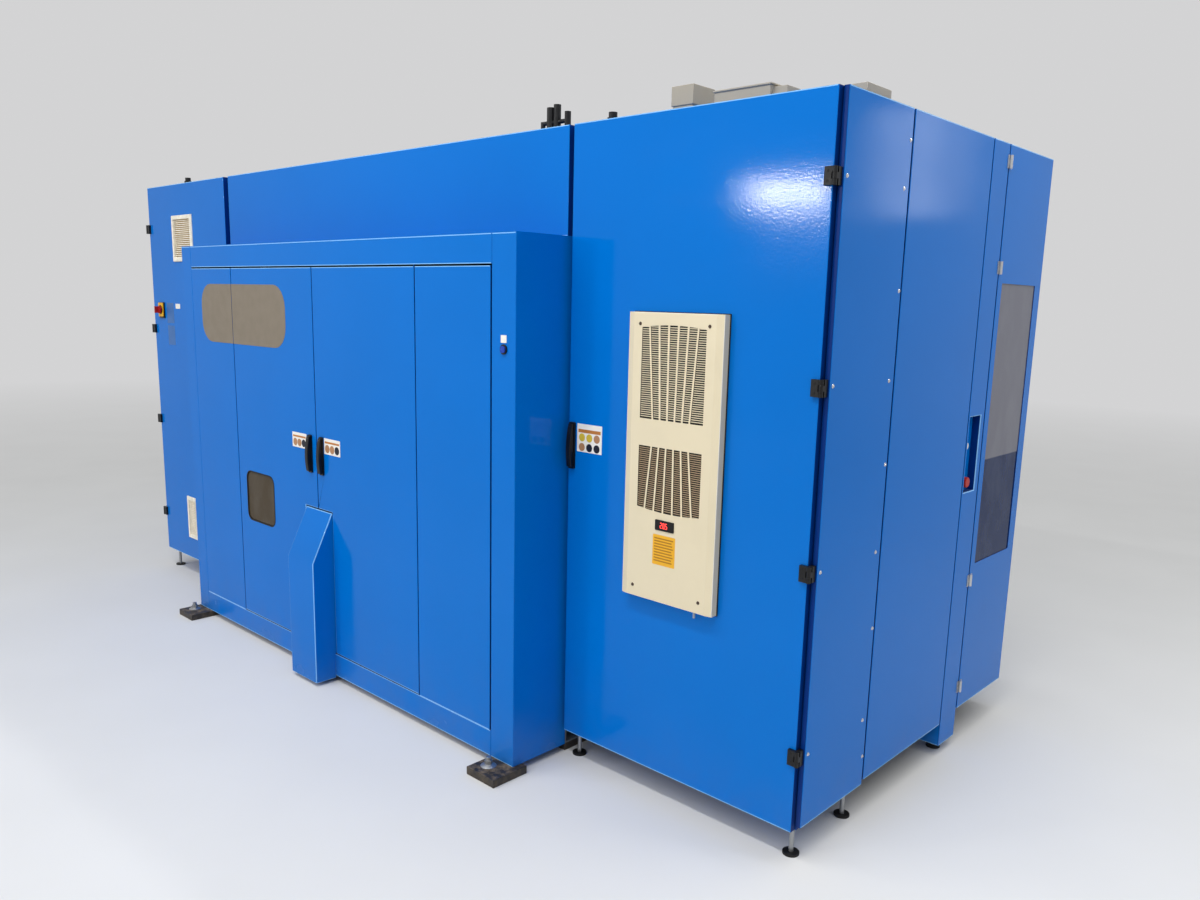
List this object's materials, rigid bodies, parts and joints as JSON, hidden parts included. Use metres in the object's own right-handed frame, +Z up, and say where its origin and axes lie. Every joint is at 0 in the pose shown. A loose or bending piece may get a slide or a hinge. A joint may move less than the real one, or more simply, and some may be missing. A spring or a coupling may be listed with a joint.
{
  "type": "panel bender",
  "caption": "Sheet metal panel bender in a blue cabinet housing, with service doors, a door-mounted cooling unit, bending tools and a sheet manipulator on its table.",
  "frame": {"origin": "bottom centre of the bounding box, on the floor", "axes": "+X to the right along the long service face, +Y from the service face towards the operator's table, +Z up"},
  "size_m": [4.6142, 2.875, 2.432],
  "materials": {
    "blue_paint": "gloss",
    "deep_blue_paint": "satin",
    "cream_paint": "satin",
    "frame_paint": "satin",
    "galvanised": "satin",
    "bare_steel": "brushed",
    "bright_steel": "polished",
    "dark_steel": "matte",
    "black_plastic": "matte",
    "grey_plastic": "matte",
    "white_plastic": "matte",
    "yellow_plastic": "matte",
    "red_plastic": "gloss",
    "blue_plastic": "gloss",
    "display_black": "gloss",
    "smoked_glass": "clear",
    "clear_glass": "clear"
  },
  "bodies": {
    "machine": {"base_frame": "frame_paint", "foot_plates": "dark_steel", "levelling_feet": "bright_steel", "left_cabinet_case": "blue_paint", "right_cabinet_case": "blue_paint", "electrical_gear": "grey_plastic", "rear_wall": "blue_paint", "roof": "blue_paint", "roof_boxes": "grey_plastic", "air_unit": "black_plastic", "bay_corner_left": "blue_paint", "bay_corner_right": "blue_paint", "bay_top_rail": "blue_paint", "bay_bottom_rail": "blue_paint", "bay_side_panels": "blue_paint", "floor_hood": "blue_paint", "cabinet_hinges": "black_plastic", "end_panel_front": "blue_paint", "end_panel_middle": "blue_paint", "end_post": "blue_paint", "left_end_panels": "blue_paint", "end_door_hinges": "bright_steel", "button_bezels": "black_plastic", "operator_panels": "blue_paint", "press_frame": "frame_paint", "press_crown": "frame_paint", "drive_cylinders": "bare_steel", "guide_rails": "bright_steel", "bed_beam": "frame_paint", "work_table": "galvanised", "manipulator_track": "frame_paint"},
    "left_leaf": {"left_leaf": "blue_paint", "leaf_window": "smoked_glass"},
    "right_leaf": {"right_leaf": "blue_paint"},
    "left_leaf_lever": {"left_leaf_lever": "black_plastic"},
    "right_leaf_lever": {"right_leaf_lever": "black_plastic"},
    "right_door": {"right_door": "blue_paint", "cooler_cover": "cream_paint", "cooler_body": "galvanised", "cooler_display": "display_black"},
    "right_door_lever": {"right_door_lever": "black_plastic"},
    "upper_fan": {"upper_fan": "black_plastic"},
    "lower_fan": {"lower_fan": "black_plastic"},
    "left_door": {"left_door": "blue_paint", "door_vents": "white_plastic", "main_switch_body": "yellow_plastic"},
    "left_door_lever": {"left_door_lever": "black_plastic"},
    "main_switch_knob": {"main_switch_knob": "red_plastic"},
    "end_door": {"end_door": "blue_paint", "end_door_pane": "clear_glass"},
    "bay_button": {"bay_button": "blue_plastic"},
    "post_button": {"post_button": "white_plastic"},
    "stop_button": {"stop_button": "red_plastic"},
    "blank_holder": {"blank_holder": "frame_paint", "upper_tools": "bright_steel"},
    "blade_holder": {"blade_holder": "frame_paint", "bending_blades": "bright_steel"},
    "carriage": {"carriage": "frame_paint"},
    "rotator": {"rotator": "bare_steel"},
    "clamp": {"clamp": "bare_steel"}
  },
  "joints": [
    {"name": "left_leaf_hinge", "type": "hinge", "parent": "machine", "child": "left_leaf", "pos_m": [-0.7699, -1.3125, 0.98], "axis": [0, 0, 1], "range_deg": [-95, 0]},
    {"name": "right_leaf_hinge", "type": "hinge", "parent": "machine", "child": "right_leaf", "pos_m": [0.6706, -1.3125, 0.98], "axis": [0, 0, 1], "range_deg": [0, 95]},
    {"name": "left_leaf_lever_hinge", "type": "hinge", "parent": "left_leaf", "child": "left_leaf_lever", "pos_m": [-0.09665, -1.3368, 0.947], "axis": [1, 0, 0], "range_deg": [0, 35]},
    {"name": "right_leaf_lever_hinge", "type": "hinge", "parent": "right_leaf", "child": "right_leaf_lever", "pos_m": [-0.00265, -1.3368, 0.947], "axis": [1, 0, 0], "range_deg": [0, 35]},
    {"name": "right_door_hinge", "type": "hinge", "parent": "machine", "child": "right_door", "pos_m": [2.28185, -1.0905, 1.2], "axis": [0, 0, 1], "range_deg": [0, 115]},
    {"name": "left_door_hinge", "type": "hinge", "parent": "machine", "child": "left_door", "pos_m": [-2.29415, -1.0905, 1.2], "axis": [0, 0, 1], "range_deg": [-115, 0]},
    {"name": "right_door_lever_hinge", "type": "hinge", "parent": "right_door", "child": "right_door_lever", "pos_m": [1.29185, -1.0968, 1.13], "axis": [1, 0, 0], "range_deg": [0, 35]},
    {"name": "left_door_lever_hinge", "type": "hinge", "parent": "left_door", "child": "left_door_lever", "pos_m": [-1.33515, -1.0968, 1.13], "axis": [1, 0, 0], "range_deg": [0, 35]},
    {"name": "upper_fan_spin", "type": "hinge", "parent": "right_door", "child": "upper_fan", "pos_m": [1.76485, -1.0825, 1.486], "axis": [0, 1, 0], "continuous": true},
    {"name": "lower_fan_spin", "type": "hinge", "parent": "right_door", "child": "lower_fan", "pos_m": [1.76485, -1.0825, 1.1465], "axis": [0, 1, 0], "continuous": true},
    {"name": "main_switch_turn", "type": "hinge", "parent": "left_door", "child": "main_switch_knob", "pos_m": [-2.16715, -1.0945, 1.598], "axis": [0, 1, 0], "range_deg": [0, 90]},
    {"name": "end_door_hinge", "type": "hinge", "parent": "machine", "child": "end_door", "pos_m": [2.30115, 0.0995, 1.2], "axis": [0, 0, 1], "range_deg": [-110, 0]},
    {"name": "bay_button_press", "type": "slide", "parent": "machine", "child": "bay_button", "axis": [0, 1, 0], "range_m": [0, 0.004], "stiffness_N_per_m": 600},
    {"name": "post_button_press", "type": "slide", "parent": "machine", "child": "post_button", "axis": [-1, 0, 0], "range_m": [0, 0.004], "stiffness_N_per_m": 600},
    {"name": "stop_button_press", "type": "slide", "parent": "machine", "child": "stop_button", "axis": [-1, 0, 0], "range_m": [0, 0.005], "stiffness_N_per_m": 600},
    {"name": "blank_holder_lift", "type": "slide", "parent": "machine", "child": "blank_holder", "axis": [0, 0, 1], "range_m": [0, 0.108]},
    {"name": "blade_holder_lift", "type": "slide", "parent": "machine", "child": "blade_holder", "axis": [0, 0, 1], "range_m": [0, 0.168]},
    {"name": "carriage_feed", "type": "slide", "parent": "machine", "child": "carriage", "axis": [0, -1, 0], "range_m": [0, 0.6]},
    {"name": "rotator_turn", "type": "hinge", "parent": "carriage", "child": "rotator", "pos_m": [-0.00715, 0.9675, 0.95], "axis": [0, 0, 1], "continuous": true},
    {"name": "clamp_lift", "type": "slide", "parent": "carriage", "child": "clamp", "axis": [0, 0, 1], "range_m": [0, 0.058]}
  ]
}
